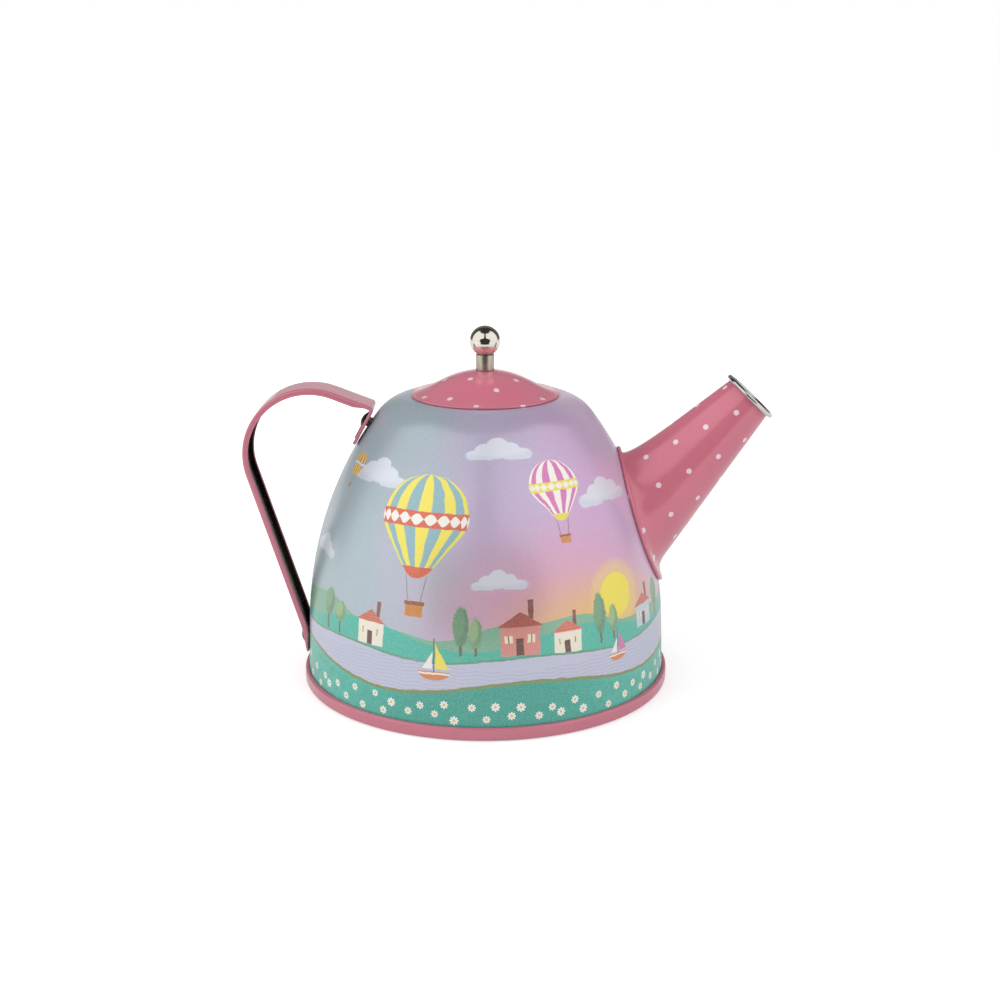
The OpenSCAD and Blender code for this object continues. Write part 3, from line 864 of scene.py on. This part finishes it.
# Handle line, as in the frame: lower tab, lower run, bow, upper run, fold and upper tab
UPPER_TILT = math.pi / 2 - body_turn(UPPER_TAB_Z) + UPPER_LIFT
TAB_RUN = -np.array([math.cos(UPPER_TILT), math.sin(UPPER_TILT)])
TAB_END = np.array([-body_radius(UPPER_TAB_Z) - UPPER_TAB_GAP, UPPER_TAB_Z])
LOWER_END = np.array([-body_radius(LOWER_TAB_Z) - SEAM - SHEET, LOWER_TAB_Z])
LOWER_FULL = np.array([-body_radius(LOWER_FULL_Z) - SEAM - STRAP_D, LOWER_FULL_Z])
LOWER_PULL = unit(LOWER_FULL - LOWER_END)
LOWER_CORNER = LOWER_END + LOWER_PULL * (LOWER_BEND_Z - LOWER_TAB_Z) / LOWER_PULL[1]
BOW_C = np.array([TAB_END[0] - HANDLE_REACH + BOW_R, BODY_H + HANDLE_RISE - BOW_R])
BOW_PULL = BOW_C - LOWER_CORNER
HANDLE_LEAN = math.atan2(BOW_PULL[1], BOW_PULL[0]) + math.asin(BOW_R / np.linalg.norm(BOW_PULL)) - math.pi / 2
LOWER_RUN = np.array([-math.sin(HANDLE_LEAN), math.cos(HANDLE_LEAN)])
UPPER_RUN = np.array([math.cos(HANDLE_FALL), -math.sin(HANDLE_FALL)])
BOW_START = BOW_C + BOW_R * turned(LOWER_RUN)
BOW_END = BOW_C + BOW_R * turned(UPPER_RUN)
FOLD_CORNER = crossing(BOW_END, UPPER_RUN, TAB_END, TAB_RUN)


def spaced(a, b, step):
    """Points from a to b, about step apart, without its ends."""
    count = max(int(np.linalg.norm(b - a) / step), 1)
    return [a + (b - a) * k / count for k in range(1, count)]


def strap_stations():
    """The strap's outer line, with the depth of its hems and its half width at each point."""
    bend = rounded(LOWER_END, LOWER_CORNER, BOW_START, LOWER_BEND_R)
    bow = arc(BOW_C, BOW_R, math.pi + HANDLE_LEAN, math.pi / 2 - HANDLE_FALL, 64)
    fold = rounded(BOW_END, FOLD_CORNER, TAB_END, FOLD_R, 14)
    flat_end = FOLD_CORNER - UPPER_RUN * (FOLD_R + STRAP_D)
    flat_start = flat_end - UPPER_RUN * THINNING
    low = [LOWER_END + LOWER_PULL * d for d in (0, 0.1, 0.35, 0.8, 1.5, 2.4, 3.6, 5.0)]
    high = [TAB_END - TAB_RUN * d for d in (9.0, 7.5, 6.0, 4.5, 3.3, 2.4, 1.5, 0.8, 0.35, 0.1, 0)]
    line = low + bend + spaced(bend[-1], bow[0], 2.5) + bow + spaced(bow[-1], flat_start, 1.5) + [flat_start]
    thin = spaced(flat_start, flat_end, 0.5)
    full = len(line)
    line += thin + [flat_end] + fold + high
    depth = []
    rise = np.linalg.norm(bend[0] - LOWER_END)
    for i, p in enumerate(line):
        if i < len(low):
            depth.append(SHEET + (STRAP_D - SHEET) * np.linalg.norm(p - LOWER_END) / rise)
        elif i < full:
            depth.append(STRAP_D)
        else:
            depth.append(STRAP_D + (TAB_D - STRAP_D) * min(1, np.linalg.norm(p - flat_start) / THINNING))
    half = []
    for p in line:
        gap = min(np.linalg.norm(p - LOWER_END), np.linalg.norm(p - TAB_END))
        cut = TAB_CORNER_R - math.sqrt(max(TAB_CORNER_R ** 2 - max(TAB_CORNER_R - gap, 0) ** 2, 0))
        half.append(STRAP_W / 2 - cut)
    return line, depth, half


def strap_section(depth, half):
    """Section of the strap as (y, depth below the outer line), round the whole section, and where the bare tin
    inside shows, which is coloured dark as painted shade.
    """
    hem = min(STRAP_HEM / 2, depth / 2)
    edge = min(STRAP_EDGE_R, depth - hem)
    side = [(half - edge + edge * math.sin(a), edge - edge * math.cos(a)) for a in np.linspace(0, math.pi / 2, 6)]
    roll = [(half - hem + hem * math.cos(a), depth - hem + hem * math.sin(a)) for a in np.linspace(0, math.pi, 9)]
    inner = half - 2 * hem
    foot = max(SHEET, depth - hem)
    back = [(inner, max(SHEET, foot - (foot - SHEET) * t)) for t in (0.5, 1.0)]
    right = side + roll + back
    web = [(half * s, 0.0) for s in (0.0, 0.35, 0.7)]
    floor = [(inner * s, SHEET) for s in (0.7, 0.35, 0.0)]
    whole = web + right + floor
    left = [(-y, d) for y, d in whole[1:-1]][::-1]
    bare_from = len(web) + len(side) + len(roll) - 2
    return whole + left, bare_from, 2 * (len(whole) - 1) - bare_from


def build_strap():
    """The handle's strap and, for each face, whether it is bare tin inside the channel, which is coloured dark as
    painted shade.
    """
    line, depth, half = strap_stations()
    normals = [q - p for p, q in zip(line, beside(line, 1.0))]
    points, rows = [], []
    for p, n, d, w in zip(line, normals, depth, half):
        section, bare_from, bare_to = strap_section(d, w)
        rows.append(list(range(len(points), len(points) + len(section))))
        points += [(p[0] - n[0] * t, y, p[1] - n[1] * t) for y, t in section]
    count = len(rows[0])
    faces, bare = [], []
    for a, b in zip(rows, rows[1:]):
        for i in range(count):
            j = (i + 1) % count
            faces.append([a[i], a[j], b[j], b[i]])
            bare.append(bare_from <= i < bare_to)
    faces += [rows[0][::-1], rows[-1]]
    bare += [False, False]
    return outwards(points, faces), bare


shape, bare = build_strap()
strap = mesh_piece("handle", shape, "teapot", [pink, shaded_tin], ["handle_strap"])
# The bare faces inside the channel take the dark tin, which is painted shade
for polygon, is_bare in zip(strap.data.polygons, bare):
    polygon.material_index = int(is_bare)


def build_rivet(grip):
    """A rivet about Z, with its head from zero up and its tail below the grip."""
    dome = (RIVET_R ** 2 + RIVET_H ** 2) / (2 * RIVET_H)
    spread = math.asin(RIVET_R / dome)
    head = arc([0, RIVET_H - dome], dome, math.pi / 2, math.pi / 2 - spread * HEAD_SHARE, 14)
    low = head[-1]
    tail_top = -grip - SEAM
    tail_end = tail_top - TAIL_H
    line = head + [(low[0] + HEAD_CURL, low[1] - HEAD_LIP), (low[0] + HEAD_LIP, SEAM), (SHANK_R, SEAM),
                   (SHANK_R, tail_top), (TAIL_R - TAIL_EDGE, tail_top), (TAIL_R, tail_top - TAIL_EDGE),
                   (TAIL_R - TAIL_DRAFT, tail_end + TAIL_EDGE), (TAIL_R - TAIL_WORN, tail_end), (0.0, tail_end)]
    return turned_shape(line, SMALL_ROUND, closed=False)


LOWER_RIVET = LOWER_END + LOWER_PULL * (LOWER_RIVET_Z - LOWER_TAB_Z) / LOWER_PULL[1]
UPPER_RIVET = TAB_END - TAB_RUN * UPPER_RIVET_RUN - turned(TAB_RUN) * SHEET
LOWER_SKEW = math.acos(LOWER_PULL[1]) + WALL_LEAN
UPPER_SKEW = UPPER_TILT - math.pi / 2 + body_turn(UPPER_RIVET[1])
LOWER_GRIP = (-(LOWER_RIVET[0] + body_radius(LOWER_RIVET_Z)) * LOWER_PULL[1] + SHEET
              + TAIL_R * math.sin(LOWER_SKEW) + SEAM)
UPPER_GRIP = (-(UPPER_RIVET[0] + body_radius(UPPER_RIVET[1])) * math.sin(UPPER_TILT) + SHEET
              + TAIL_R * math.sin(UPPER_SKEW) + SIDE_R - math.sqrt(SIDE_R ** 2 - TAIL_R ** 2) + SEAM)
for name, node, place, out, grip in (
        ("upper_rivet", "handle_rivet_upper", UPPER_RIVET, -turned(TAB_RUN), UPPER_GRIP),
        ("lower_rivet", "handle_rivet_lower", LOWER_RIVET, turned(LOWER_PULL), LOWER_GRIP)):
    points, faces = build_rivet(grip)
    mesh_piece(name, (placed(points, place, out), faces), "teapot", [dark_steel], [node])

# Lid line, from the screw's hole to the rolled edge
LID_EDGE = np.array([LID_R - BEAD_R, BODY_H + SEAM + BEAD_R])
FLARE_X = FLARE_AT + FLARE_R * math.sin(LID_SLOPE)
EDGE_SLOPE = math.asin((FLARE_X - LID_EDGE[0]) / (FLARE_R + SHEET / 2))
FLARE_C = np.array([FLARE_X, LID_EDGE[1] + (FLARE_R + SHEET / 2) * math.cos(EDGE_SLOPE)])
DOME_EDGE = DOME_R * math.sin(LID_SLOPE)
DOME_Z = (FLARE_C[1] - FLARE_R * math.cos(LID_SLOPE) + (FLARE_AT - DOME_EDGE) * math.tan(LID_SLOPE)
          - DOME_R * math.cos(LID_SLOPE))
HOLE_R = SCREW_R + HOLE_FIT


def build_lid():
    """The lid's sheet, from the screw's hole to the rolled edge."""
    top = arc([0, DOME_Z], DOME_R, math.pi / 2 - math.asin(HOLE_R / DOME_R), math.pi / 2 - LID_SLOPE, 28)
    top += arc(FLARE_C, FLARE_R, 1.5 * math.pi - LID_SLOPE, 1.5 * math.pi - EDGE_SLOPE, 16)
    under = beside(top, -SHEET)
    bead = arc(LID_EDGE, BEAD_R, math.pi / 2 - EDGE_SLOPE, -math.pi + BEAD_OPEN, 14)
    return turned_shape(top[:-1] + bead + under[::-1][1:], ROUND)


lid = mesh_piece("lid", build_lid(), "lid", [spotted_lid, bare_tin], ["lid_shell"])
# The lid is bare below, within its rolled edge
bare_inside(lid, lambda p, normal: normal[2] < -0.2 and math.hypot(p[0], p[1]) < LID_R - 2 * BEAD_R)


def build_collar():
    """The collar that drops into the neck, with its flange under the lid."""
    bend = FLARE_R + SHEET + SEAM
    angles = [1.5 * math.pi - math.asin((FLARE_X - r) / bend) for r in (COLLAR_R, COLLAR_R - COLLAR_FLANGE)]
    line = [np.array([COLLAR_R, BODY_H - COLLAR_H])] + arc(FLARE_C, bend, *angles, 8)
    return turned_shape(line + beside(line, SHEET)[::-1], MIDDLE_ROUND)


mesh_piece("collar", build_collar(), "lid", [bare_tin], ["lid_collar"])

# Knob: the ferrule stands on the lid's dome, and the ball on the ferrule
FERRULE_Z = DOME_Z + math.sqrt(DOME_R ** 2 - FERRULE_BORE ** 2) + SEAM
BALL_Z = FERRULE_Z + FERRULE_H + SEAM + math.sqrt(BALL_R ** 2 - FERRULE_BORE ** 2)


def build_ferrule():
    """The tube between the lid and the ball, with its edges rounded."""
    top, edge = FERRULE_Z + FERRULE_H, FERRULE_EDGE_R
    line = []
    corners = [(FERRULE_R, FERRULE_Z), (FERRULE_R, top), (FERRULE_BORE, top), (FERRULE_BORE, FERRULE_Z)]
    for i, corner in enumerate(corners):
        line += rounded(corners[i - 1], corner, corners[(i + 1) % 4], edge, 3)
    return turned_shape(line, SMALL_ROUND)


mesh_piece("ferrule", build_ferrule(), "lid", [satin], ["knob_ferrule"])


def build_ball():
    """The ball with the blind hole for the screw."""
    bore = SCREW_R + SEAM
    tip = BALL_Z + SCREW_R + SEAM
    low = -math.acos(bore / BALL_R)
    line = arc([0, BALL_Z], BALL_R, low, math.pi / 2, 48)
    line[-1][0] = 0.0
    line += [np.array([0.0, tip]), np.array([bore, tip])]
    return turned_shape(line, BALL_ROUND)


mesh_piece("ball", build_ball(), "lid", [chrome], ["knob_ball"])

# The screw is shown as the frame has it
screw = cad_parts["knob_screw"]
if not screw.material_slots:
    screw.data.materials.append(dark_steel)
for slot in screw.material_slots:
    slot.material = dark_steel

# Camera, found from the photograph: place, pitch and focal length as a share of the picture's width
CAMERA_PLACE = np.array([4.36, -451.36, 176.83])
CAMERA_PITCH = math.radians(15.27)
FOCAL_SHARE = 1.5643
SENSOR = 36


def add_camera():
    data = bpy.data.cameras.new("camera")
    data.sensor_width = SENSOR
    data.lens = FOCAL_SHARE * data.sensor_width
    camera = new_object("camera", data)
    camera.location = CAMERA_PLACE * MM
    camera.rotation_euler = (math.pi / 2 - CAMERA_PITCH, 0, 0)
    bpy.context.scene.camera = camera


add_camera()

# Floor, in metres: half its width, and how far it lies below the object
FLOOR_HALF = 3.0
FLOOR_DROP = 0.0002
# Its glow near the object, and how far off, in mm, it begins to rise to 1 and gets there
FLOOR_GLOW = 0.42
FLOOR_NEAR, FLOOR_FAR = 150.0, 500.0
# The share of that glow which reflections show: with the room's light it makes the floor white there too
FLOOR_SHEEN = 0.2
# The dark part of the table before the object: how far off it begins and is full, in mm, and how far it widens to
# each side for every millimetre off, at full darkness and where it ends
DARK_FROM, DARK_FULL = 240.0, 310.0
DARK_SIDE, DARK_END = 0.55, 0.75


def add_floor():
    """A white floor that keeps the shadow. A glow, for the camera and for reflections alone, makes it pure white,
    but reflections show its front part dark, before the photographer."""
    mesh = bpy.data.meshes.new("floor")
    s = FLOOR_HALF
    mesh.from_pydata([(-s, -s, 0), (s, -s, 0), (s, s, 0), (-s, s, 0)], [], [(0, 1, 2, 3)])
    floor = new_object("floor", mesh)
    floor.location.z = -FLOOR_DROP
    paint = Paint("floor", "#e6e6e6", roughness=0.8)
    direct, mirrored = paint.rays()
    far = paint.ramp(paint.length(paint.place), FLOOR_NEAR, FLOOR_FAR, FLOOR_GLOW, 1.0)
    x, y, _ = paint.parts(paint.place)
    across = paint.ramp(paint.math("ABSOLUTE", x / y), DARK_SIDE, DARK_END, 1, 0)
    dark = paint.ramp(y * -1, DARK_FROM, DARK_FULL) * across * mirrored
    paint.colour = paint.mix(dark, paint.colour, "#161513")
    paint.put(paint.shader.inputs["Emission Color"], "#ffffff")
    paint.put(paint.shader.inputs["Emission Strength"], far * ((mirrored - dark) * FLOOR_SHEEN + direct))
    mesh.materials.append(paint.done())


add_floor()


# The point that the lamps are aimed at, in metres
AIM = (0, 0, 0.05)


def softbox(name, place, size, power):
    """A flat lamp that reflections don't show. Its place and size are in metres."""
    data = bpy.data.lights.new(name, "AREA")
    data.shape, data.size, data.size_y, data.energy = "RECTANGLE", size[0], size[1], power
    lamp = new_object(name, data)
    lamp.visible_glossy = False
    lamp.location = place
    lamp.rotation_mode = "QUATERNION"
    lamp.rotation_quaternion = (Vector(AIM) - Vector(place)).to_track_quat("-Z", "Y")


softbox("left_softbox", (-0.865, -0.385, 0.6), (0.82, 0.6), 3.1)
softbox("right_softbox", (0.76, -0.53, 0.66), (0.68, 0.6), 1.7)

# How bright the studio is: for matt surfaces, and in reflections of its dark parts, of the two tall white walls at
# the left and right, of the dim room round the backdrop, and of the white backdrop
ROOM, DARK, LEFT_WALL, RIGHT_WALL, DIM, BACKDROP = 0.8, 0.04, 0.98, 0.95, 0.2, 1.0
# Where the white walls end, in degrees from straight before the object, half the gap between them low and high up,
# and over how many degrees both edges are soft
WALL_END, GAP_LOW, GAP_HIGH, END_SOFT, GAP_SOFT = 102, 34, 3, 15, 10
# Over which heights of a reflected ray's direction (its z, from -1 to 1) the gap narrows and the walls end, and over
# which depths (its y) the dim room and the backdrop begin. The side (its x) blends the two walls' brightness
GAP_Z, TOP_Z, DIM_Y, BACKDROP_Y, SIDE_X = (0.25, 0.5), (0.83, 0.93), (0.45, 0.8), (0.95, 1.0), (-0.1, 0.1)


def add_world():
    """A white background for the camera, and a studio of two white walls in the dark for the reflections."""
    world = bpy.data.worlds.new("studio")
    bpy.context.scene.world = world
    world.use_nodes = True
    nodes = Nodes(world.node_tree)
    x, y, z = nodes.parts(nodes.node("ShaderNodeTexCoord").outputs["Generated"])
    direct, mirrored = nodes.rays()
    turn = nodes.math("DEGREES", nodes.math("ARCTAN2", nodes.math("ABSOLUTE", x), y * -1))
    gap = nodes.ramp(z, *GAP_Z, GAP_LOW, GAP_HIGH)
    walls = nodes.ramp(turn - gap, 0, GAP_SOFT) * nodes.ramp(turn, WALL_END, WALL_END + END_SOFT, 1, 0)
    walls = walls * nodes.ramp(z, *TOP_Z, 1, 0)
    room = walls * nodes.ramp(x, *SIDE_X, LEFT_WALL, RIGHT_WALL)
    room = room + nodes.ramp(y, *DIM_Y, DARK, DIM) + nodes.ramp(y, *BACKDROP_Y, 0, BACKDROP - DIM)
    light = mirrored * (room - ROOM) + ROOM
    background = world.node_tree.nodes["Background"]
    background.inputs["Color"].default_value = (1, 1, 1, 1)
    nodes.put(background.inputs["Strength"], light + (1 - light) * direct)


add_world()
bpy.context.scene.view_settings.view_transform = "Standard"
